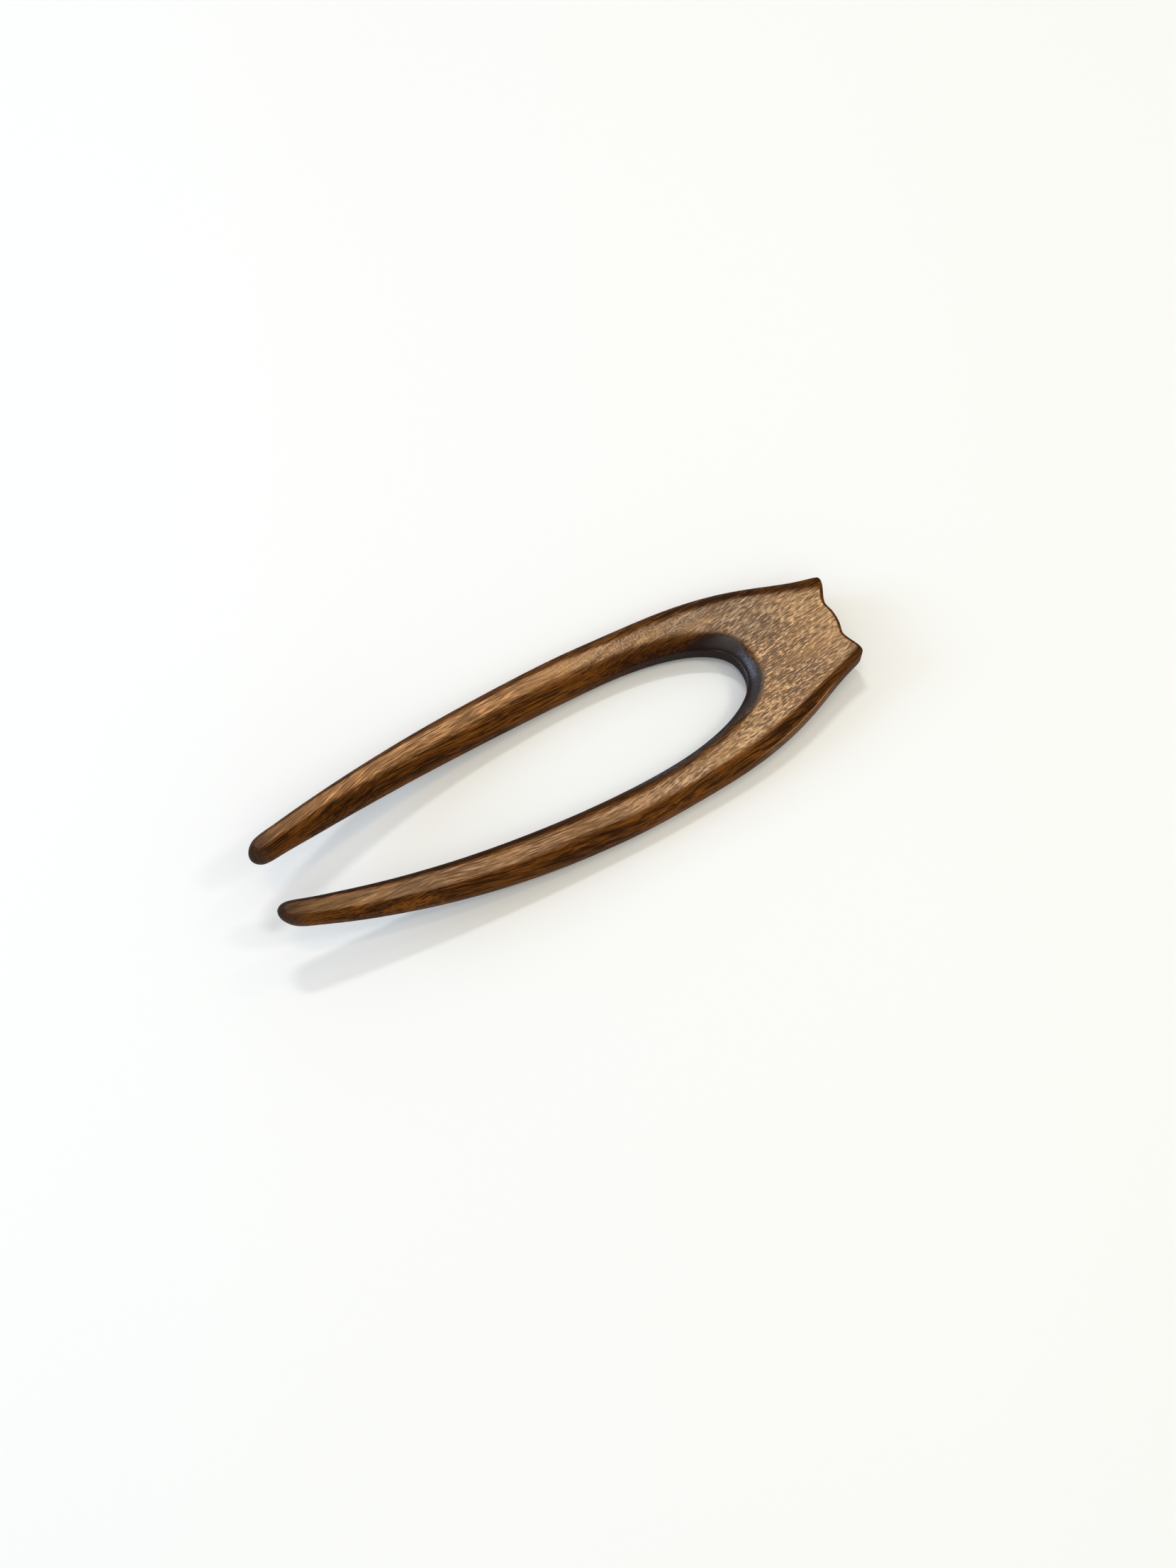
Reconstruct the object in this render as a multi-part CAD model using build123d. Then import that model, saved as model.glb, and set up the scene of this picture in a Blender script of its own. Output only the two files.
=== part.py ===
"""A wooden hair fork: two tapering prongs, a flat head and a crown between two pointed ears.

It lies on its rounded back, so both ends are lifted off the floor. X runs along the fork
towards the head, Y across it and Z up, all in millimetres. The body is mirrored about Y = 0.
"""

from build123d import *
from collections import namedtuple
import math
import os

# Driving sizes in the plan
FORK_LENGTH = 142.0
FORK_WIDTH = 44.8
GAP_WIDTH = 25.7
GAP_LENGTH = 116.9
NOSE_SPREAD = 14.1
NOSE_WIDTH = 5.6
NOSE_ROUNDING = 3.6
EAR_SPREAD = 20.2
EAR_HEIGHT = 2.1

# Driving sizes in the side view
HEAD_THICKNESS = 8.3
NOSE_THICKNESS = 6.1
NOSE_LIFT = 17.2
HEAD_LIFT = 3.0

# Places along the fork
NOSE_X = -FORK_LENGTH / 2
EAR_X = FORK_LENGTH / 2
GAP_END_X = NOSE_X + GAP_LENGTH
WIDEST_X = NOSE_X + 0.582 * FORK_LENGTH
CONTACT_X = NOSE_X + 0.62 * FORK_LENGTH
FULL_THICKNESS_X = NOSE_X + 0.70 * FORK_LENGTH

# Powers of the curves: 2 is a parabola or an ellipse, more is fuller
GAP_TAPER = 2.07
OUTLINE_TAPER = 2.19
GAP_END_FULLNESS = 2.3

# How many times wider than high the upper roundings are, behind the crown and along the gap
OUTER_EASING = 1.6
GAP_EASING = 2.3

# Largest share of a section's width that its two roundings take up together
ROUNDED_SHARE = 0.98

# Crown: half the edge between the ears, from its middle out to an ear tip.
# across: share of half the ear spread, setback: share of the ear height behind the ear tips,
# turn: degrees around the end of the gap,
# rounding, low_rounding and gap_rounding: shares of the thickness, at the upper edge of the
# outline, at its lower edge and at both edges of the gap
CrownRow = namedtuple("CrownRow", "across setback turn rounding low_rounding gap_rounding")
CROWN = (
    CrownRow(across=0.00, setback=0.65, turn=0, rounding=0.11, low_rounding=0.31, gap_rounding=0.27),
    CrownRow(across=0.22, setback=0.76, turn=5, rounding=0.11, low_rounding=0.31, gap_rounding=0.27),
    CrownRow(across=0.41, setback=0.94, turn=9, rounding=0.11, low_rounding=0.31, gap_rounding=0.27),
    CrownRow(across=0.49, setback=0.85, turn=11, rounding=0.11, low_rounding=0.31, gap_rounding=0.27),
    CrownRow(across=0.755, setback=0.29, turn=17, rounding=0.11, low_rounding=0.31, gap_rounding=0.27),
    CrownRow(across=0.935, setback=0.08, turn=21, rounding=0.11, low_rounding=0.31, gap_rounding=0.27),
    CrownRow(across=0.985, setback=0.14, turn=23, rounding=0.11, low_rounding=0.31, gap_rounding=0.27),
    CrownRow(across=1.04, setback=0.45, turn=25, rounding=0.13, low_rounding=0.31, gap_rounding=0.27),
)

# Shoulder: from behind an ear tip to the widest place.
# along: share of the way from the ear tips back to the widest place,
# across: share of the way from the ear tip out to the full width
ShoulderRow = namedtuple("ShoulderRow", "along across turn rounding low_rounding gap_rounding")
SHOULDER = (
    ShoulderRow(along=0.06, across=0.105, turn=29, rounding=0.16, low_rounding=0.32, gap_rounding=0.27),
    ShoulderRow(along=0.13, across=0.23, turn=34, rounding=0.21, low_rounding=0.33, gap_rounding=0.27),
    ShoulderRow(along=0.25, across=0.475, turn=42, rounding=0.29, low_rounding=0.34, gap_rounding=0.28),
    ShoulderRow(along=0.41, across=0.725, turn=52, rounding=0.34, low_rounding=0.35, gap_rounding=0.29),
    ShoulderRow(along=0.60, across=0.885, turn=64, rounding=0.36, low_rounding=0.36, gap_rounding=0.31),
    ShoulderRow(along=0.80, across=0.957, turn=77, rounding=0.37, low_rounding=0.37, gap_rounding=0.34),
)

# Prong sections, as shares of the way from the widest place to the nose
ProngRow = namedtuple("ProngRow", "along rounding")
PRONG = (
    ProngRow(along=0.00, rounding=0.37),
    ProngRow(along=0.17, rounding=0.38),
    ProngRow(along=0.34, rounding=0.40),
    ProngRow(along=0.50, rounding=0.42),
    ProngRow(along=0.64, rounding=0.43),
    ProngRow(along=0.76, rounding=0.44),
    ProngRow(along=0.86, rounding=0.44),
    ProngRow(along=0.92, rounding=0.44),
)

# Nose sections, as shares of the rounding's length from where it starts
NOSE_STEPS = (0.40, 0.70, 0.88, 0.97, 0.995)
NOSE_CORNER = 0.44

# A station joins a point of the outer outline with one of the gap's outline
Station = namedtuple("Station", "outer inner rounding easing low_rounding gap_rounding")


def thickness(x):
    """Thickness at x: even over the head, easing down to the noses."""
    share = min((x - NOSE_X) / (FULL_THICKNESS_X - NOSE_X), 1.0)
    return NOSE_THICKNESS + (HEAD_THICKNESS - NOSE_THICKNESS) * share ** 2 * (3 - 2 * share)


def underside(x):
    """Height of the rounded back above the floor at x."""
    if x > CONTACT_X:
        return HEAD_LIFT * ((x - CONTACT_X) / (EAR_X - CONTACT_X)) ** 2
    return NOSE_LIFT * ((x - CONTACT_X) / (NOSE_X - CONTACT_X)) ** 2


def prong_edges(x):
    """Outer and inner half width of the fork at x, between the widest place and the noses."""
    share = (WIDEST_X - x) / (WIDEST_X - NOSE_X)
    outer_end = (NOSE_SPREAD + NOSE_WIDTH) / 2
    inner_end = (NOSE_SPREAD - NOSE_WIDTH) / 2
    outer = FORK_WIDTH / 2 - (FORK_WIDTH / 2 - outer_end) * share ** OUTLINE_TAPER
    inner = GAP_WIDTH / 2 - (GAP_WIDTH / 2 - inner_end) * share ** GAP_TAPER
    return outer, inner


def gap_end(turn):
    """Point on the round end of the gap, turned from its far middle towards its side."""
    angle = math.radians(turn)
    power = 2 / GAP_END_FULLNESS
    x = WIDEST_X + (GAP_END_X - WIDEST_X) * math.cos(angle) ** power
    y = GAP_WIDTH / 2 * math.sin(angle) ** power
    return x, y


def head_stations():
    """Stations from the middle of the crown, round an ear, to near the widest place."""
    stations = []
    for row in CROWN:
        outer = (EAR_X - row.setback * EAR_HEIGHT, row.across * EAR_SPREAD / 2)
        stations.append(Station(outer, gap_end(row.turn), row.rounding, 1.0, row.low_rounding, row.gap_rounding))
    for row in SHOULDER:
        x = EAR_X - row.along * (EAR_X - WIDEST_X)
        y = EAR_SPREAD / 2 + row.across * (FORK_WIDTH - EAR_SPREAD) / 2
        stations.append(Station(
            (x, y), gap_end(row.turn), row.rounding, OUTER_EASING, row.low_rounding, row.gap_rounding,
        ))
    return stations


def prong_stations():
    """Stations from the widest place to where the nose starts to round."""
    places = [(WIDEST_X - row.along * (WIDEST_X - NOSE_X), row.rounding) for row in PRONG]
    places.append((NOSE_X + NOSE_ROUNDING, NOSE_CORNER))
    stations = []
    for x, rounding in places:
        outer, inner = prong_edges(x)
        stations.append(Station((x, outer), (x, inner), rounding, OUTER_EASING, rounding, rounding))
    return stations


def stretch(before, after, outer, inner):
    """How much longer a rounding is along the section than straight across the outline."""
    outline = Vector(after[0] - before[0], after[1] - before[1], 0).normalized()
    section = Vector(outer[0] - inner[0], outer[1] - inner[1], 0).normalized()
    return 1 / max(outline.cross(section).length, 0.4)


def fitted(outer_flat, inner_flat, width):
    """The widths of a section's two roundings, both shortened alike where they would meet."""
    share = min(1.0, ROUNDED_SHARE * width / (outer_flat + inner_flat))
    return outer_flat * share, inner_flat * share


def rounded_section(corners, rounds):
    """Closed upright section through four corners, each cut by a quarter of an ellipse.

    rounds holds, for each corner, its reach along the flat side and its reach up the wall.
    """
    loop = []
    for index, corner in enumerate(corners):
        before = (corners[index - 1] - corner).normalized()
        after = (corners[(index + 1) % 4] - corner).normalized()
        flat, upright = rounds[index]
        reach = (upright, flat) if index % 2 == 0 else (flat, upright)
        loop.append((corner + before * reach[0], corner, corner + after * reach[1]))
    edges = []
    for index, (start, corner, end) in enumerate(loop):
        edges.append(Bezier(start, corner, end, weights=[1, math.sqrt(0.5), 1]))
        edges.append(Line(end, loop[(index + 1) % 4][0]))
    return Wire(edges)


def section_at(stations, index, side):
    """Section of one station, with its roundings square to the outlines there."""
    station = stations[index]
    before = stations[index - 1] if index > 0 else mirrored(stations[1])
    after = stations[min(index + 1, len(stations) - 1)]
    outer_stretch = stretch(before.outer, after.outer, station.outer, station.inner)
    inner_stretch = stretch(before.inner, after.inner, station.outer, station.inner)
    outer_low = Vector(station.outer[0], side * station.outer[1], underside(station.outer[0]))
    inner_low = Vector(station.inner[0], side * station.inner[1], underside(station.inner[0]))
    outer_top = outer_low + Vector(0, 0, thickness(station.outer[0]))
    inner_top = inner_low + Vector(0, 0, thickness(station.inner[0]))
    outer_round = station.rounding * thickness(station.outer[0])
    low_round = station.low_rounding * thickness(station.outer[0])
    inner_round = station.gap_rounding * thickness(station.inner[0])
    width = math.dist(station.outer, station.inner)
    outer_flat, inner_flat = fitted(
        outer_round * outer_stretch * station.easing, inner_round * inner_stretch * GAP_EASING, width,
    )
    low_flat, gap_flat = fitted(low_round * outer_stretch, inner_round * inner_stretch, width)
    return rounded_section(
        (outer_top, inner_top, inner_low, outer_low),
        ((outer_flat, outer_round), (inner_flat, inner_round), (gap_flat, inner_round), (low_flat, low_round)),
    )


def mirrored(station):
    """The same station on the other side of the fork."""
    return station._replace(
        outer=(station.outer[0], -station.outer[1]),
        inner=(station.inner[0], -station.inner[1]),
    )


def nose_sections(side):
    """Sections that shrink to the nose as those of a ball do."""
    start_x = NOSE_X + NOSE_ROUNDING
    sections = []
    for step in NOSE_STEPS:
        x = start_x - step * NOSE_ROUNDING
        outer, inner = prong_edges(x)
        middle_y = (outer + inner) / 2
        scale = math.sqrt(1 - step ** 2)
        width = (outer - inner) * scale
        height = thickness(x) * scale
        low = underside(x) + (thickness(x) - height) / 2
        outer_low = Vector(x, side * (middle_y + width / 2), low)
        inner_low = Vector(x, side * (middle_y - width / 2), low)
        up = Vector(0, 0, height)
        corner = NOSE_CORNER * height
        outer_flat, inner_flat = fitted(corner * OUTER_EASING, corner * GAP_EASING, width)
        low_flat, gap_flat = fitted(corner, corner, width)
        sections.append(rounded_section(
            (outer_low + up, inner_low + up, inner_low, outer_low),
            ((outer_flat, corner), (inner_flat, corner), (gap_flat, corner), (low_flat, corner)),
        ))
    return sections


def half_sections(side):
    """All sections of one side, from the middle of the crown to the nose."""
    stations = head_stations() + prong_stations()
    sections = [section_at(stations, index, side) for index in range(len(stations))]
    return sections + nose_sections(side)


def fork_body():
    """The whole fork as one loft from nose to nose, round the head."""
    one_side = half_sections(1)
    other_side = half_sections(-1)
    return Solid.make_loft(list(reversed(other_side)) + one_side[1:])


os.makedirs("parts", exist_ok=True)
body = fork_body()
print("fork_body", body.is_valid, round(body.volume, 1), body.bounding_box(), body.center())
export_step(body, "parts/fork_body.step")
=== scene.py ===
import bmesh
import bpy
import math
from mathutils import Matrix, Vector, noise


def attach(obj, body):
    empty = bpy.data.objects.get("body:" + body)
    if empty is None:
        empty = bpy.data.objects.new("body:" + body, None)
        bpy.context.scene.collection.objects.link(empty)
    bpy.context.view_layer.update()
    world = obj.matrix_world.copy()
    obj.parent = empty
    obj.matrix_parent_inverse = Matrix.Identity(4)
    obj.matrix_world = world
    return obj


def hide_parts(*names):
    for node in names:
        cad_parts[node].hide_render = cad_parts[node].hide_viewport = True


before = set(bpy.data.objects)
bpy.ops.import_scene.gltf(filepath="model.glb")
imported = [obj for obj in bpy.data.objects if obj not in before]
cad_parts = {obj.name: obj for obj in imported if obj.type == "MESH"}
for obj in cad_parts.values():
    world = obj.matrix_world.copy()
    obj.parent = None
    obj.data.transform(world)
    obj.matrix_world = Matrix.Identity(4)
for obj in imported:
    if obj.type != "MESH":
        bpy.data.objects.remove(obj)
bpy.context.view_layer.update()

world = bpy.context.scene
perMetre = 1000.0  # millimetres

# The plan and side view of the fork, in millimetres, as the solid has them
forkPlan = {
    "noseX": -71.0,
    "earX": 71.0,
    "widestX": 11.6,  # where the fork is widest
    "contactX": 17.0,  # where the rounded back touches the floor
    "contactBlend": 0.5,  # millimetres to each side in which the back's two curves meet
    "halfWidth": 22.4,
    "noseHalfWidth": 9.85,
    "outlineTaper": 2.19,
    "gapEndX": 45.9,
    "gapHalfWidth": 12.85,
    "gapFullness": 2.3,
    "earHalfSpread": 10.1,
    "shoulderFullness": 2.2,
    "noseLift": 17.2,
    "headLift": 3.0,
}

forkBody = {
    "weld": 0.000001,  # metres within which the solid's loose corners are joined
    "voxel": 0.00034,  # size of the even mesh, metres
    "smoothPasses": 3,
    "smoothShare": 0.5,
    "waviness": 0.00005,  # how far the hand-cut faces rise and fall, metres
    "wavelength": 0.011,
    "waveStretch": 0.55,  # below 1, the waves are longer along the fork
    "rollStart": 35.0,  # x in millimetres from which the head rolls down into the gap's end
    "rollGrowth": 8.0,  # millimetres in which the roll comes in
    "rollWidth": 3.4,
    "rollDepth": 0.66,
    "rollFacing": 0.5,  # faces that turn up less than this roll down less
}


# How far a point of the plan lies from the gap's round end, in millimetres
def gapDistance(x, y):
    fullness = forkPlan["gapFullness"]
    gapLength = forkPlan["gapEndX"] - forkPlan["widestX"]
    alongShare = max((x - forkPlan["widestX"]) / gapLength, 0.0)
    acrossShare = abs(y) / forkPlan["gapHalfWidth"]
    reach = (alongShare ** fullness + acrossShare ** fullness) ** (1.0 / fullness)
    if reach <= 1.0:
        return 0.0
    steepX = (alongShare / reach) ** (fullness - 1.0) / gapLength
    steepY = (acrossShare / reach) ** (fullness - 1.0) / forkPlan["gapHalfWidth"]
    return (reach - 1.0) / math.hypot(steepX, steepY)


# How far the top rolls down beside the gap's end, in metres
def rollDrop(place, normal):
    x = place.x * perMetre
    y = place.y * perMetre
    if x < forkBody["rollStart"] or normal.z < 0.0:
        return 0.0
    left = 1.0 - gapDistance(x, y) / forkBody["rollWidth"]
    if left <= 0.0:
        return 0.0
    along = min((x - forkBody["rollStart"]) / forkBody["rollGrowth"], 1.0)
    turned = min(normal.z / forkBody["rollFacing"], 1.0)
    return forkBody["rollDepth"] * left * left * along * turned / perMetre


# An even mesh that lies on the solid's faces
def evenMesh(source):
    mesh = source.data.copy()
    mesh.materials.clear()
    shell = bmesh.new()
    shell.from_mesh(mesh)
    bmesh.ops.remove_doubles(shell, verts=shell.verts, dist=forkBody["weld"])
    shell.to_mesh(mesh)
    shell.free()
    draft = bpy.data.objects.new("forkDraft", mesh)
    world.collection.objects.link(draft)
    even = draft.modifiers.new("evenMesh", "REMESH")
    even.mode = "VOXEL"
    even.voxel_size = forkBody["voxel"]
    soft = draft.modifiers.new("softer", "SMOOTH")
    soft.factor = forkBody["smoothShare"]
    soft.iterations = forkBody["smoothPasses"]
    hug = draft.modifiers.new("hug", "SHRINKWRAP")
    hug.target = source
    hug.wrap_method = "NEAREST_SURFACEPOINT"
    bpy.context.view_layer.update()
    shaped = draft.evaluated_get(bpy.context.evaluated_depsgraph_get())
    finished = bpy.data.meshes.new_from_object(shaped)
    bpy.data.objects.remove(draft)
    return finished


# The fork with the slight waves that a knife leaves, and the roll into the gap's end
def carvedFork(source):
    finished = evenMesh(source)
    shell = bmesh.new()
    shell.from_mesh(finished)
    shell.normal_update()
    moves = []
    for vert in shell.verts:
        place = vert.co / forkBody["wavelength"]
        wave = noise.noise(Vector((place.x * forkBody["waveStretch"], place.y, place.z)))
        drop = Vector((0.0, 0.0, rollDrop(vert.co, vert.normal)))
        moves.append(vert.normal * wave * forkBody["waviness"] - drop)
    for vert, move in zip(shell.verts, moves):
        vert.co += move
    for face in shell.faces:
        face.smooth = True
    shell.to_mesh(finished)
    shell.free()
    piece = bpy.data.objects.new("fork_wood", finished)
    world.collection.objects.link(piece)
    print("fork mesh", len(finished.vertices), "vertices", len(finished.polygons), "faces")
    return piece


# Small helpers that put shader nodes together. A span is where a change starts and where it is full
class NodeSheet:
    def __init__(self, material):
        material.use_nodes = True
        self.tree = material.node_tree
        self.shader = self.tree.nodes["Principled BSDF"]

    def make(self, kind, **settings):
        node = self.tree.nodes.new(kind)
        for name, value in settings.items():
            setattr(node, name, value)
        return node

    def plug(self, socket, value):
        if isinstance(value, bpy.types.NodeSocket):
            self.tree.links.new(value, socket)
        else:
            socket.default_value = value

    def reckon(self, operation, first, second=0.0, clamp=False):
        node = self.make("ShaderNodeMath", operation=operation, use_clamp=clamp)
        for socket, value in zip(node.inputs, (first, second)):
            self.plug(socket, value)
        return node.outputs[0]

    def plus(self, first, *others):
        for other in others:
            first = self.reckon("ADD", first, other)
        return first

    def times(self, first, *others):
        for other in others:
            first = self.reckon("MULTIPLY", first, other)
        return first

    def minus(self, first, second):
        return self.reckon("SUBTRACT", first, second)

    def over(self, first, second, clamp=False):
        return self.reckon("DIVIDE", first, second, clamp)

    def power(self, first, second):
        return self.reckon("POWER", first, second)

    def larger(self, first, second):
        return self.reckon("MAXIMUM", first, second)

    def smaller(self, first, second):
        return self.reckon("MINIMUM", first, second)

    def unsigned(self, value):
        return self.reckon("ABSOLUTE", value)

    def without(self, mask, amount=1.0):
        return self.minus(1.0, self.times(mask, amount))

    def swing(self, pattern, amount):
        return self.times(self.minus(pattern, 0.5), amount)

    def fade(self, value, span, low=0.0, high=1.0):
        node = self.make("ShaderNodeMapRange", interpolation_type="SMOOTHSTEP")
        for socket, number in zip(node.inputs, (value, *span, low, high)):
            self.plug(socket, number)
        return node.outputs[0]

    def ramp(self, mask, ends):
        return self.fade(mask, (0.0, 1.0), *ends)

    def mix(self, factor, first, second, blend="MIX"):
        node = self.make("ShaderNodeMix", data_type="RGBA", blend_type=blend)
        self.plug(node.inputs[0], factor)
        for socket, value in ((node.inputs[6], first), (node.inputs[7], second)):
            if isinstance(value, tuple):
                value = (*value, 1.0)
            self.plug(socket, value)
        return node.outputs[2]

    def parts(self, vector):
        node = self.make("ShaderNodeSeparateXYZ")
        self.plug(node.inputs[0], vector)
        return node.outputs

    def vector(self, x, y, z):
        node = self.make("ShaderNodeCombineXYZ")
        for socket, value in zip(node.inputs, (x, y, z)):
            self.plug(socket, value)
        return node.outputs[0]

    def stretched(self, vector, scale, shift=(0.0, 0.0, 0.0)):
        node = self.make("ShaderNodeVectorMath", operation="MULTIPLY_ADD")
        self.plug(node.inputs[0], vector)
        self.plug(node.inputs[1], scale)
        self.plug(node.inputs[2], shift)
        return node.outputs[0]


# How the grain runs: with the prongs, and leaning to the far side over the head and near the noses
grainRun = {
    "headLeanFrom": 8.0,
    "headLean": 0.12,
    "noseLeanFrom": -38.0,
    "noseLean": 0.28,
    "swayReach": 3.0,
    "sway": {"along": 0.045, "across": 0.14, "start": (0.0, 0.0, 0.0), "detail": 1.0},
}

# Noise patterns of the wood: repeats per millimetre along and across the grain, where each starts
woodPatterns = {
    "figure": {"along": 0.05, "across": 0.25, "start": (0.0, 0.0, 0.0), "detail": 2.0},
    "clouds": {"along": 0.30, "across": 0.9, "start": (7.4, 3.9, 2.2), "detail": 1.0},
    "streaks": {"along": 0.050, "across": 1.1, "start": (3.1, 7.7, 1.3), "detail": 3.0, "roughness": 0.6},
    "pores": {"along": 0.10, "across": 2.7, "start": (5.2, 4.1, 2.9), "detail": 2.0, "roughness": 0.6},
    "fibres": {"along": 0.20, "across": 3.6, "start": (9.4, 2.2, 5.8), "detail": 1.0, "roughness": 0.6},
    "dashes": {"along": 0.35, "across": 1.9, "start": (6.6, 3.4, 9.2), "detail": 1.0},
    "flecks": {
        "along": 0.70, "across": 2.95, "start": (4.4, 1.9, 8.1),
        "detail": 0.8, "roughness": 0.5, "distortion": 0.15,
    },
    "notches": {"along": 1.5, "across": 4.6, "start": (1.7, 8.3, 6.1), "detail": 0.5},
    "stipple": {"along": 2.2, "across": 2.8, "start": (2.4, 6.9, 3.1), "detail": 0.6, "roughness": 0.5},
}


# A node sheet that knows where a point lies on the fork, in millimetres, and how far it turns up
class ForkSheet(NodeSheet):
    def __init__(self, material):
        super().__init__(material)
        coords = self.make("ShaderNodeTexCoord")
        place = self.stretched(coords.outputs["Object"], (perMetre, perMetre, perMetre))
        self.x, self.y, z = self.parts(place)
        normalX, self.normalY, normalZ = self.parts(coords.outputs["Normal"])

        # the rounded back: its height and slope at x
        away = self.minus(self.x, forkPlan["contactX"])
        noseBend = forkPlan["noseLift"] / (forkPlan["noseX"] - forkPlan["contactX"]) ** 2
        headBend = forkPlan["headLift"] / (forkPlan["earX"] - forkPlan["contactX"]) ** 2
        blend = forkPlan["contactBlend"]
        bend = self.fade(away, (-blend, blend), noseBend, headBend)
        slope = self.times(away, bend, 2.0)
        self.height = self.minus(z, self.times(away, away, bend))
        self.upward = self.minus(normalZ, self.times(slope, normalX))

        flow = self.grainFlow()
        self.patterns = {name: self.grain(flow, look) for name, look in woodPatterns.items()}

    def along(self, span, low=0.0, high=1.0):
        return self.fade(self.x, span, low, high)

    def across(self, span, low=0.0, high=1.0):
        return self.fade(self.y, span, low, high)

    def turned(self, span, low=0.0, high=1.0):
        return self.fade(self.upward, span, low, high)

    def grain(self, flow, look):
        node = self.make("ShaderNodeTexNoise")
        scale = (look["along"], look["across"], look["across"])
        self.plug(node.inputs["Vector"], self.stretched(flow, scale, look["start"]))
        node.inputs["Scale"].default_value = 1.0
        node.inputs["Detail"].default_value = look["detail"]
        node.inputs["Roughness"].default_value = look.get("roughness", 0.55)
        node.inputs["Distortion"].default_value = look.get("distortion", 0.0)
        return node.outputs["Fac"]

    def grainFlow(self):
        reach = forkPlan["widestX"] - forkPlan["noseX"]
        share = self.over(self.minus(forkPlan["widestX"], self.x), reach, clamp=True)
        loss = (forkPlan["halfWidth"] - forkPlan["noseHalfWidth"]) / forkPlan["halfWidth"]
        narrowing = self.without(self.power(share, forkPlan["outlineTaper"]), loss)
        pastHead = self.larger(self.minus(self.x, grainRun["headLeanFrom"]), 0.0)
        pastProng = self.smaller(self.minus(self.x, grainRun["noseLeanFrom"]), 0.0)
        across = self.over(self.y, narrowing)
        across = self.minus(across, self.times(pastHead, grainRun["headLean"]))
        across = self.minus(across, self.times(pastProng, grainRun["noseLean"]))
        sway = self.grain(self.vector(self.x, across, self.height), grainRun["sway"])
        across = self.plus(across, self.swing(sway, grainRun["swayReach"]))
        return self.vector(self.x, across, self.height)

    # distance from the gap's round end, as gapDistance works it out
    def fromGap(self):
        steepness = forkPlan["gapFullness"] - 1.0
        gapLength = forkPlan["gapEndX"] - forkPlan["widestX"]
        alongShare = self.larger(self.over(self.minus(self.x, forkPlan["widestX"]), gapLength), 0.0)
        acrossShare = self.over(self.unsigned(self.y), forkPlan["gapHalfWidth"])
        raised = [self.power(share, forkPlan["gapFullness"]) for share in (alongShare, acrossShare)]
        reach = self.power(self.plus(*raised), 1.0 / forkPlan["gapFullness"])
        steepX = self.over(self.power(self.over(alongShare, reach), steepness), gapLength)
        steepY = self.over(self.power(self.over(acrossShare, reach), steepness), forkPlan["gapHalfWidth"])
        steep = self.reckon("SQRT", self.plus(self.times(steepX, steepX), self.times(steepY, steepY)))
        return self.over(self.minus(reach, 1.0), steep)


# The dark rim of the head, in millimetres from the fork's outline: partly a darker stain, partly
# painted shade on the rounded edge
headRim = {
    "width": (3.3, 1.3),
    "wobble": 3.0,
    "warmth": 0.65,
    "along": (4.0, 26.0),
    "farEarAlong": (50.0, 62.0),
    "farEarAcross": (3.0, 7.0),
}


def rimMask(sheet):
    run = forkPlan["earX"] - forkPlan["widestX"]
    share = sheet.over(sheet.minus(sheet.x, forkPlan["widestX"]), run, clamp=True)
    loss = forkPlan["halfWidth"] - forkPlan["earHalfSpread"]
    narrower = sheet.times(sheet.power(share, forkPlan["shoulderFullness"]), loss)
    fromEdge = sheet.minus(sheet.minus(forkPlan["halfWidth"], narrower), sheet.unsigned(sheet.y))
    farEar = sheet.times(sheet.along(headRim["farEarAlong"]), sheet.across(headRim["farEarAcross"]))
    fromEdge = sheet.plus(fromEdge, sheet.swing(sheet.patterns["streaks"], headRim["wobble"]))
    fromEdge = sheet.minus(fromEdge, farEar)
    return sheet.times(sheet.fade(fromEdge, headRim["width"]), sheet.along(headRim["along"]))


# The pale top is painted light, partly over the wood's own paler top: faces that turn up, and on
# the prongs those that lean to the far side toward the key lamp, are painted pale, and faces that
# turn away are painted darker, as painted shade. The pale top ends where a face turns up less,
# which the prongs measure from a line that leans to the far side. Spans are millimetres along or
# across the fork, or shares of facing up
paleTop = {
    "headAlong": (-8.0, 26.0),
    "nearSide": (2.0, -2.0),
    "farSide": (-2.0, 2.0),
    "lean": (0.15, 0.04),  # on the prongs, and on the head
    "farTipLean": 0.13,
    "farTipLeanAlong": (-15.0, -60.0),
    "nearBend": 0.03,
    "nearBendAlong": (-4.0, 14.0),
    "nearBendEnd": (40.0, 26.0),
    "farTipLoss": 0.03,
    "farTipAlong": (-28.0, -50.0),
    "nearProngLoss": 0.02,
    "streakRag": 0.05,
    "poreRag": 0.04,
    "warmEdge": (0.945, 1.015),
    "paleEdge": (1.000, 1.050),
}


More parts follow.
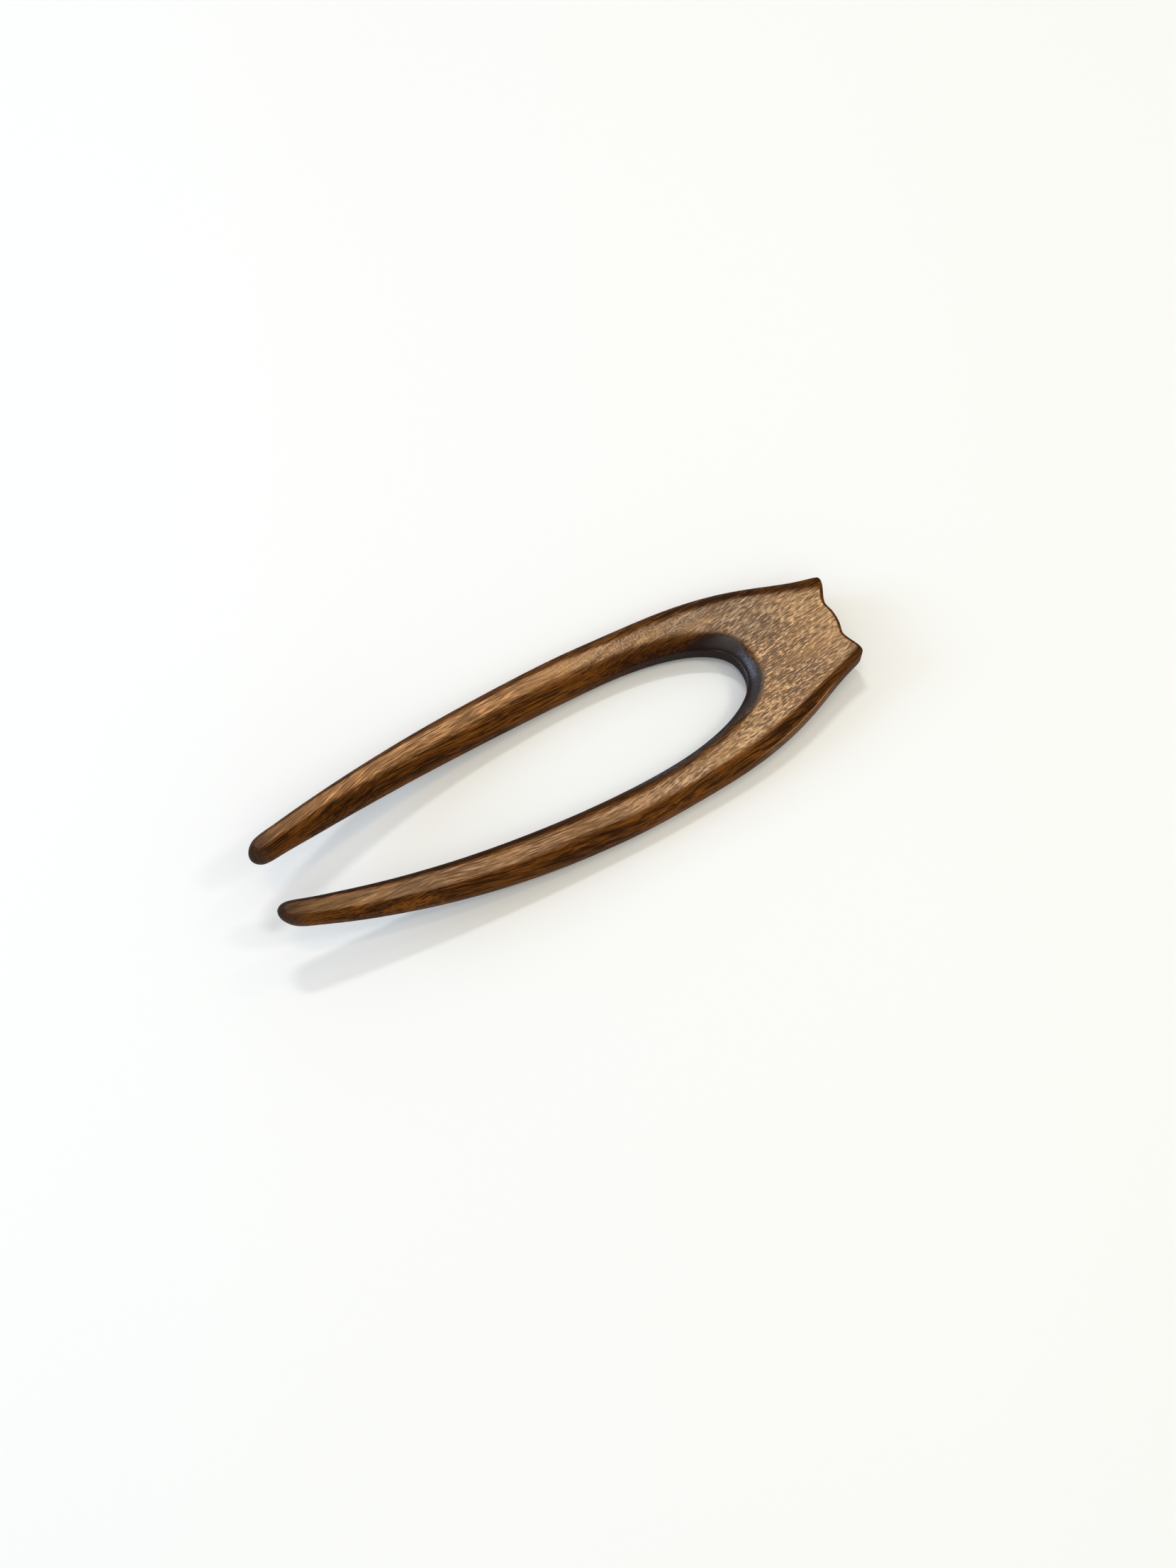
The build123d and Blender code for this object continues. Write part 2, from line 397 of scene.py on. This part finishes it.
# Where the painted pale top and the warm band around it show: painted light where faces turn up,
# and painted half shade in the warm band where they turn away
def topMasks(sheet, head, nearProng, rim):
    farSide = sheet.across(paleTop["farSide"])
    tilt = sheet.times(sheet.along(paleTop["farTipLeanAlong"], 0.0, paleTop["farTipLean"]), farSide)
    nearBend = sheet.times(
        sheet.across(paleTop["nearSide"]),
        sheet.along(paleTop["nearBendAlong"]),
        sheet.along(paleTop["nearBendEnd"], 0.0, paleTop["nearBend"]),
    )
    tilt = sheet.plus(sheet.ramp(head, paleTop["lean"]), tilt, nearBend)
    ragged = sheet.plus(
        sheet.upward,
        sheet.times(sheet.normalY, tilt),
        sheet.times(sheet.patterns["streaks"], paleTop["streakRag"]),
        sheet.times(sheet.patterns["pores"], paleTop["poreRag"]),
    )
    # painted shade: the far prong's tip and the near prong get less of the painted pale top
    farTip = sheet.times(sheet.along(paleTop["farTipAlong"], 0.0, paleTop["farTipLoss"]), farSide)
    ragged = sheet.minus(ragged, sheet.plus(farTip, sheet.times(nearProng, paleTop["nearProngLoss"])))
    top = sheet.times(sheet.fade(ragged, paleTop["paleEdge"]), sheet.without(rim))
    warm = sheet.times(sheet.fade(ragged, paleTop["warmEdge"]), sheet.without(rim, headRim["warmth"]))
    return top, warm


# Short flecks and dark notches of the head, stippled finer on the far shoulder: partly the wood's
# own flecks, partly painted light and shade of their relief, with pale ridges, dark troughs and
# notches painted dark as shade in their dents
headFlecks = {
    "shoulderAcross": (2.0, 9.0),
    "shoulderAlong": (46.0, 36.0),
    "stippleContrast": 0.65,
    "stippleLift": 0.16,
    "clouds": 0.35,
    "dashes": 0.40,
    "middleY": -4.0,
    "middleAcross": (13.0, 4.0),
    "middleAlong": (66.0, 56.0),
    "contrast": (0.85, 1.30),  # round the middle of the head, and on it
    "shade": (0.27, 0.73),
    "notchEdge": (0.55, 0.64),
    "notchDepth": (0.25, 0.65),
}


def fleckShade(sheet, head):
    look = headFlecks
    shoulder = sheet.times(sheet.across(look["shoulderAcross"]), sheet.along(look["shoulderAlong"]))
    stipple = sheet.times(sheet.patterns["stipple"], look["stippleContrast"])
    stipple = sheet.times(sheet.plus(stipple, look["stippleLift"]), shoulder)
    flecks = sheet.times(sheet.patterns["flecks"], sheet.without(shoulder))
    clouds = sheet.swing(sheet.patterns["clouds"], look["clouds"])
    dashes = sheet.swing(sheet.patterns["dashes"], look["dashes"])
    flecks = sheet.plus(flecks, stipple, clouds, dashes)
    fromMiddle = sheet.unsigned(sheet.minus(sheet.y, look["middleY"]))
    middle = sheet.times(sheet.fade(fromMiddle, look["middleAcross"]), sheet.along(look["middleAlong"]))
    flecks = sheet.plus(sheet.swing(flecks, sheet.ramp(middle, look["contrast"])), 0.5)
    notches = sheet.fade(sheet.patterns["notches"], look["notchEdge"])
    notches = sheet.times(notches, sheet.ramp(middle, look["notchDepth"]), head)
    return sheet.times(sheet.fade(flecks, look["shade"]), sheet.without(notches))


# The flat head: pale flecked wood, greyer on its far half
headWood = {
    "pale": (0.800, 0.480, 0.250),
    "dark": (0.135, 0.068, 0.032),
    "farTone": (0.78, 0.83, 0.92),  # greyer wood on the far half
    "farAcross": (0.0, 8.0),
    "farStart": (28.0, 36.0),
    "farEnd": (62.0, 54.0),
    "goldTone": (1.12, 1.12, 1.06),  # brighter wood by the crown and beside the gap
    "gapAcross": (-4.0, -8.0),
    "gapStart": (26.0, 34.0),
    "gapEnd": (56.0, 48.0),
    "crownY": 3.5,
    "crownAcross": (8.0, 2.0),
    "crownAlong": (56.0, 63.0),
}


def headColor(sheet, flecks):
    look = headWood
    wood = sheet.mix(flecks, look["dark"], look["pale"])
    farHalf = sheet.times(
        sheet.across(look["farAcross"]), sheet.along(look["farStart"]), sheet.along(look["farEnd"])
    )
    wood = sheet.mix(farHalf, wood, look["farTone"], blend="MULTIPLY")
    besideGap = sheet.times(
        sheet.across(look["gapAcross"]), sheet.along(look["gapStart"]), sheet.along(look["gapEnd"])
    )
    fromCrown = sheet.unsigned(sheet.minus(sheet.y, look["crownY"]))
    byCrown = sheet.times(sheet.fade(fromCrown, look["crownAcross"]), sheet.along(look["crownAlong"]))
    return sheet.mix(sheet.larger(besideGap, byCrown), wood, look["goldTone"], blend="MULTIPLY")


# The prongs' tops: redder wood with long streaks, darker toward the noses. The near prong's top
# is painted duller and darker, as painted shade
prongWood = {
    "pale": (0.840, 0.415, 0.160),
    "dark": (0.155, 0.062, 0.018),
    "nearPale": (0.520, 0.310, 0.175),
    "nearShare": 0.7,
    "nearTipAlong": (-18.0, -40.0),
    "nearTipDark": 0.18,
    "tipAlong": (-42.0, -68.0),
    "tipDark": 0.5,
}


def prongColor(sheet, nearProng, fibreShade):
    look = prongWood
    # painted shade: the near prong's top and its tip are painted darker than the far prong's
    pale = sheet.mix(sheet.times(nearProng, look["nearShare"]), look["pale"], look["nearPale"])
    nearTip = sheet.times(nearProng, sheet.along(look["nearTipAlong"], 0.0, look["nearTipDark"]))
    tip = sheet.along(look["tipAlong"], 0.0, look["tipDark"])
    pale = sheet.mix(sheet.plus(nearTip, tip), pale, look["dark"])
    return sheet.mix(fibreShade, look["dark"], pale)


# The dark sides all round the fork: partly the wood's own darker colour, partly painted shade on
# faces that turn away from up
sideWood = {
    "light": (0.195, 0.062, 0.006),
    "dark": (0.026, 0.006, 0.0004),
    "figure": (0.35, 0.65),
    "fibres": (0.34, 0.66),
    "fibreShare": 0.80,
    "nearGapAcross": (1.0, -1.0),
    "nearGapFacing": (0.15, 0.6),
    "nearGapDark": 0.8,
}


def sideColor(sheet):
    look = sideWood
    wood = sheet.mix(sheet.fade(sheet.patterns["figure"], look["figure"]), look["dark"], look["light"])
    fibres = sheet.times(sheet.fade(sheet.patterns["fibres"], look["fibres"]), look["fibreShare"])
    wood = sheet.mix(fibres, wood, look["light"])
    nearGap = sheet.times(
        sheet.across(look["nearGapAcross"]),
        sheet.fade(sheet.normalY, look["nearGapFacing"]),
        look["nearGapDark"],
    )
    return sheet.mix(nearGap, wood, look["dark"])


# Dark streaks and pore lines over all of it, fainter on the pale top; along the rim's rounded edge
# the streaks come in more, as painted shade there
darkLines = {
    "color": (0.018, 0.006, 0.001),
    "streakEdge": (0.54, 0.66),
    "streakAmount": (0.85, 0.25),  # on the sides, and on the top
    "creaseFacing": (0.45, 0.85),
    "creaseLift": 0.11,
    "poreEdge": (0.51, 0.62),
    "sidePores": 0.85,
    "prongPores": 0.35,
    "headPores": 0.15,
}


def lineAmount(sheet, head, top, rim):
    look = darkLines
    # painted shade: more dark streaks where the rim's rounded edge turns away
    crease = sheet.times(rim, sheet.turned(look["creaseFacing"]), look["creaseLift"])
    streaks = sheet.fade(sheet.plus(sheet.patterns["streaks"], crease), look["streakEdge"])
    streaks = sheet.times(streaks, sheet.ramp(top, look["streakAmount"]))
    topPores = sheet.minus(look["prongPores"], sheet.times(head, look["prongPores"] - look["headPores"]))
    pores = sheet.fade(sheet.patterns["pores"], look["poreEdge"])
    pores = sheet.times(pores, sheet.ramp(top, (look["sidePores"], topPores)))
    return sheet.larger(streaks, pores)


# The near shoulder's side, painted lighter as if lit, under a thin painted highlight along its
# edge, and the darker end of the head: partly a darker stain, partly painted shade on its rounding
nearShoulder = {
    "across": (-7.0, -11.0),
    "start": (36.0, 46.0),
    "end": (66.0, 58.0),
    "sideFacing": (0.58, 0.42),
    "sideShare": 0.75,
    "sideLight": (0.280, 0.142, 0.066),
    "sideDark": (0.120, 0.055, 0.022),
    "edgeHighlight": (0.48, 0.26, 0.11),
    "edgeAbove": (0.70, 0.64),
    "edgeBelow": (0.52, 0.58),
    "edgeRag": 0.12,
    "edgeShare": 0.7,
    "headEndFacing": (0.97, 0.70),
    "headEndAlong": (58.0, 64.0),
    "headEndShare": 0.6,
}


def shoulderColor(sheet, wood, fibreShade):
    look = nearShoulder
    shoulder = sheet.times(
        sheet.across(look["across"]), sheet.along(look["start"]), sheet.along(look["end"])
    )
    # painted light: the near shoulder's side is painted lighter
    side = sheet.times(shoulder, sheet.turned(look["sideFacing"], 0.0, look["sideShare"]))
    wood = sheet.mix(side, wood, sheet.mix(fibreShade, look["sideDark"], look["sideLight"]))
    # painted highlight: a thin light line along the shoulder's rounded edge
    glintFacing = sheet.plus(sheet.upward, sheet.times(sheet.patterns["streaks"], look["edgeRag"]))
    edge = sheet.times(sheet.fade(glintFacing, look["edgeAbove"]), sheet.fade(glintFacing, look["edgeBelow"]), shoulder)
    wood = sheet.mix(sheet.times(edge, look["edgeShare"]), wood, look["edgeHighlight"])
    # painted shade where the end of the head rounds over, partly a darker stain
    headEnd = sheet.times(sheet.turned(look["headEndFacing"]), sheet.along(look["headEndAlong"]))
    return sheet.mix(sheet.times(headEnd, look["headEndShare"]), wood, forkWood["rimDark"])


# The dark wall and roll at the round end of the gap, in millimetres from its edge: a dark stain,
# with painted shade on the walls that turn down into the gap and on the far prong's roll
gapEndShadeAndStain = {
    "color": (0.016, 0.007, 0.005),
    "soft": (1.0, -0.8),
    "width": (0.1, 0.9),  # narrower than this, the dark fades out
    "endWidth": 1.3,
    "endAlong": (36.0, 46.0),
    "nearWidth": 1.2,
    "nearAlong": (0.0, 22.0),
    "nearAcross": (3.0, -5.0),
    "farWidth": 1.1,
    "farAlong": (32.0, 41.0),
    "farAcross": (1.0, 8.0),
    "rollWidth": 0.9,
    "rollAlong": (36.0, 44.0),
    "rollAcross": (-9.0, -3.0),
    "rollShare": (0.4, 1.0),
    "wallFacing": (0.65, 0.15),
    "wallWidth": (1.6, 0.8),
    "wallAlong": (16.0, 34.0),
    "wallShare": 0.9,
    "farEdgeWidth": (3.9, 2.3),
    "farEdgeAlong": (12.0, 24.0),
    "farEdgeAcross": (0.0, 5.0),
    "farEdgeShare": 0.6,
}


def gapEndShadeAndStainMasks(sheet):
    look = gapEndShadeAndStain
    fromGap = sheet.fromGap()
    width = sheet.plus(
        sheet.along(look["endAlong"], 0.0, look["endWidth"]),
        sheet.times(sheet.across(look["nearAcross"]), sheet.along(look["nearAlong"], 0.0, look["nearWidth"])),
        sheet.times(sheet.along(look["farAlong"], 0.0, look["farWidth"]), sheet.across(look["farAcross"])),
        sheet.times(
            sheet.along(look["rollAlong"], 0.0, look["rollWidth"]),
            sheet.across(look["rollAcross"], *look["rollShare"]),
        ),
    )
    beyond = sheet.minus(fromGap, width)
    shadedAndStained = sheet.times(sheet.fade(beyond, look["soft"]), sheet.fade(width, look["width"]))
    # painted shade on the gap's walls, where they turn down
    wall = sheet.times(
        sheet.turned(look["wallFacing"]),
        sheet.fade(fromGap, look["wallWidth"]),
        sheet.along(look["wallAlong"]),
        look["wallShare"],
    )
    # painted shade on the far prong's roll into the gap
    farEdge = sheet.times(
        sheet.along(look["farEdgeAlong"]),
        sheet.across(look["farEdgeAcross"]),
        sheet.fade(fromGap, look["farEdgeWidth"]),
        look["farEdgeShare"],
    )
    return sheet.larger(shadedAndStained, wall), farEdge


# The noses: darker, most on faces that turn away from up, with a little oil sheen
darkNoses = {
    "color": (0.052, 0.026, 0.016),
    "along": (-65.5, -71.5),
    "upperReach": -2.0,
    "facing": (0.9, 0.3),
    "share": (0.55, 0.95),
}

# The oiled wood as a whole
forkWood = {
    "amber": (0.62, 0.320, 0.110),
    "amberFigure": (0.45, 0.75),
    "amberShare": 0.4,
    "rimLight": (0.290, 0.112, 0.026),
    "rimDark": (0.080, 0.025, 0.003),
    "fibreShade": (0.26, 0.74),
    "roughness": (0.60, 0.46),  # of dark wood, and of pale wood
    "gloss": 0.05,
    "oilRoughness": 0.32,
    "oilIndex": 1.8,
    "topSheen": 0.24,
    "rollSheen": (0.03, 0.65),
    "rollSheenAcross": (10.0, 6.0),
    "rollSheenFacing": (0.50, 0.85),
    "noseSheen": 0.1,
    "relief": 0.00034,  # depth of pores and flecks, metres
    "streakRelief": 0.5,
    "gapEndSmoothness": 0.93,
}


def oiledWood():
    look = forkWood
    material = bpy.data.materials.new("oiledWood")
    sheet = ForkSheet(material)
    head = sheet.along(paleTop["headAlong"])
    nearProng = sheet.times(sheet.across(paleTop["nearSide"]), sheet.without(head))
    rim = rimMask(sheet)
    top, warm = topMasks(sheet, head, nearProng, rim)
    flecks = fleckShade(sheet, head)
    fibres = sheet.fade(sheet.patterns["fibres"], look["fibreShade"])

    topWood = sheet.mix(head, prongColor(sheet, nearProng, fibres), headColor(sheet, flecks))
    amber = sheet.times(sheet.fade(sheet.patterns["figure"], look["amberFigure"]), look["amberShare"])
    topWood = sheet.mix(amber, topWood, look["amber"])
    warmWood = sheet.mix(fibres, look["rimDark"], look["rimLight"])
    # painted light on the pale top, painted half shade in the warm band, painted shade on the sides
    wood = sheet.mix(top, sheet.mix(warm, sideColor(sheet), warmWood), topWood)
    wood = sheet.mix(lineAmount(sheet, head, top, rim), wood, darkLines["color"])
    wood = shoulderColor(sheet, wood, fibres)

    shadedAndStained, farEdge = gapEndShadeAndStainMasks(sheet)
    # painted shade on the far roll, then the gap's end: dark stain and painted shade
    wood = sheet.mix(farEdge, wood, sideWood["dark"])
    wood = sheet.mix(shadedAndStained, wood, gapEndShadeAndStain["color"])
    noseReach = sheet.plus(sheet.x, sheet.times(sheet.upward, darkNoses["upperReach"]))
    nose = sheet.fade(noseReach, darkNoses["along"])
    noseShare = sheet.times(nose, sheet.turned(darkNoses["facing"], *darkNoses["share"]))
    wood = sheet.mix(noseShare, wood, darkNoses["color"])
    sheet.plug(sheet.shader.inputs["Base Color"], wood)

    fine = sheet.plus(sheet.times(flecks, head), sheet.times(fibres, sheet.without(head)))
    sheet.plug(sheet.shader.inputs["Roughness"], sheet.ramp(fine, look["roughness"]))
    sheet.shader.inputs["Specular IOR Level"].default_value = look["gloss"]
    rollSheen = sheet.times(
        shadedAndStained,
        sheet.across(look["rollSheenAcross"], *look["rollSheen"]),
        sheet.turned(look["rollSheenFacing"]),
    )
    topSheen = sheet.times(top, sheet.without(shadedAndStained), look["topSheen"])
    noseSheen = sheet.times(nose, look["noseSheen"])
    oil = sheet.larger(sheet.plus(rollSheen, topSheen), noseSheen)
    sheet.plug(sheet.shader.inputs["Coat Weight"], oil)
    sheet.shader.inputs["Coat Roughness"].default_value = look["oilRoughness"]
    sheet.shader.inputs["Coat IOR"].default_value = look["oilIndex"]

    relief = sheet.minus(fine, sheet.times(sheet.patterns["streaks"], look["streakRelief"]))
    bump = sheet.make("ShaderNodeBump")
    bump.inputs["Strength"].default_value = 1.0
    bump.inputs["Distance"].default_value = look["relief"]
    sheet.plug(bump.inputs["Height"], sheet.times(relief, sheet.without(shadedAndStained, look["gapEndSmoothness"])))
    sheet.plug(sheet.shader.inputs["Normal"], bump.outputs[0])
    sheet.plug(sheet.shader.inputs["Coat Normal"], bump.outputs[0])
    return material


floorLook = {
    "color": (0.93, 0.93, 0.915),
    "roughness": 0.75,
    "size": 6.0,
}


def paleFloor():
    bpy.ops.mesh.primitive_plane_add(size=floorLook["size"])
    floor = bpy.context.object
    floor.name = "floor"
    material = bpy.data.materials.new("palePaper")
    sheet = NodeSheet(material)
    sheet.shader.inputs["Base Color"].default_value = (*floorLook["color"], 1.0)
    sheet.shader.inputs["Roughness"].default_value = floorLook["roughness"]
    floor.data.materials.append(material)


# Where the camera stands: degrees, and metres in the fork's own frame
cameraView = {
    "elevation": 71.4,
    "turn": 27.95,
    "distance": 0.5259,
    "aim": (0.00347, -0.00583, 0.0),
    "focalPixels": 3320,
    "longSidePixels": 2212,
    "filmSize": 36.0,
    "nearest": 0.01,
}


# A camera or light with its back turned to the direction away, and its width along side
def aimed(name, data, location, away, side):
    side = (side - away * side.dot(away)).normalized()
    holder = bpy.data.objects.new(name, data)
    world.collection.objects.link(holder)
    holder.location = location
    holder.rotation_mode = "QUATERNION"
    holder.rotation_quaternion = Matrix((side, away.cross(side), away)).transposed().to_quaternion()
    return holder


# Level directions to the camera's right and toward the camera
def cameraDirections():
    turn = math.radians(cameraView["turn"])
    right = Vector((math.cos(turn), -math.sin(turn), 0.0))
    toward = Vector((-math.sin(turn), -math.cos(turn), 0.0))
    return right, toward


def placeCamera():
    right, toward = cameraDirections()
    up = math.radians(cameraView["elevation"])
    back = toward * math.cos(up) + Vector((0.0, 0.0, math.sin(up)))
    data = bpy.data.cameras.new("camera")
    data.sensor_width = cameraView["filmSize"]
    data.lens = cameraView["filmSize"] * cameraView["focalPixels"] / cameraView["longSidePixels"]
    data.clip_start = cameraView["nearest"]
    location = Vector(cameraView["aim"]) + back * cameraView["distance"]
    world.camera = aimed("camera", data, location, back, right)


# Each light comes from: share to the camera's right, share toward the camera, share up
lights = {
    "keyLight": {
        "place": (-0.11, -0.45, 1.0), "distance": 1.3, "size": (0.26, 0.065),
        "watts": 3.15, "color": (0.99, 1.0, 0.97),
    },
    "overLight": {
        "place": (-0.09, 0.01, 1.0), "distance": 1.3, "size": (0.26, 0.065),
        "watts": 1.33, "color": (1.0, 0.70, 0.45),
    },
    "rightLight": {
        "place": (0.58, 0.03, 1.0), "distance": 1.2, "size": (0.20, 0.10),
        "watts": 1.25, "color": (1.0, 0.85, 0.68),
    },
    "backLight": {
        "place": (0.53, -0.46, 1.0), "distance": 1.2, "size": (0.20, 0.10),
        "watts": 0.50, "color": (1.0, 0.70, 0.30),
    },
    "coolLight": {
        "place": (-2.0, 0.05, 1.0), "distance": 0.9, "size": (0.45, 0.45),
        "watts": 2.80, "color": (0.49, 0.65, 1.0),
    },
    "ceilingLight": {
        "place": (0.20, 0.30, 1.0), "distance": 1.3, "size": (1.1, 1.1),
        "watts": 3.50, "color": (0.93, 1.0, 0.86),
    },
}
skyLook = {"color": (0.95, 0.98, 1.0), "strength": 0.50}


def placeLights():
    right, toward = cameraDirections()
    for name, look in lights.items():
        acrossShare, towardShare, upShare = look["place"]
        direction = (right * acrossShare + toward * towardShare + Vector((0, 0, upShare))).normalized()
        data = bpy.data.lights.new(name, "AREA")
        data.shape = "ELLIPSE"
        data.size, data.size_y = look["size"]
        data.energy = look["watts"]
        data.color = look["color"]
        aimed(name, data, direction * look["distance"], direction, right)
    sky = bpy.data.worlds.new("sky")
    sky.use_nodes = True
    background = sky.node_tree.nodes["Background"]
    background.inputs["Color"].default_value = (*skyLook["color"], 1.0)
    background.inputs["Strength"].default_value = skyLook["strength"]
    world.world = sky


placeCamera()
placeLights()
paleFloor()
world.view_settings.view_transform = "Standard"
print("camera, lights and floor are in place")

fork = carvedFork(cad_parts["fork_body"])
fork.data.materials.append(oiledWood())
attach(fork, "root")
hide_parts("fork_body")
print("the fork is carved and oiled")
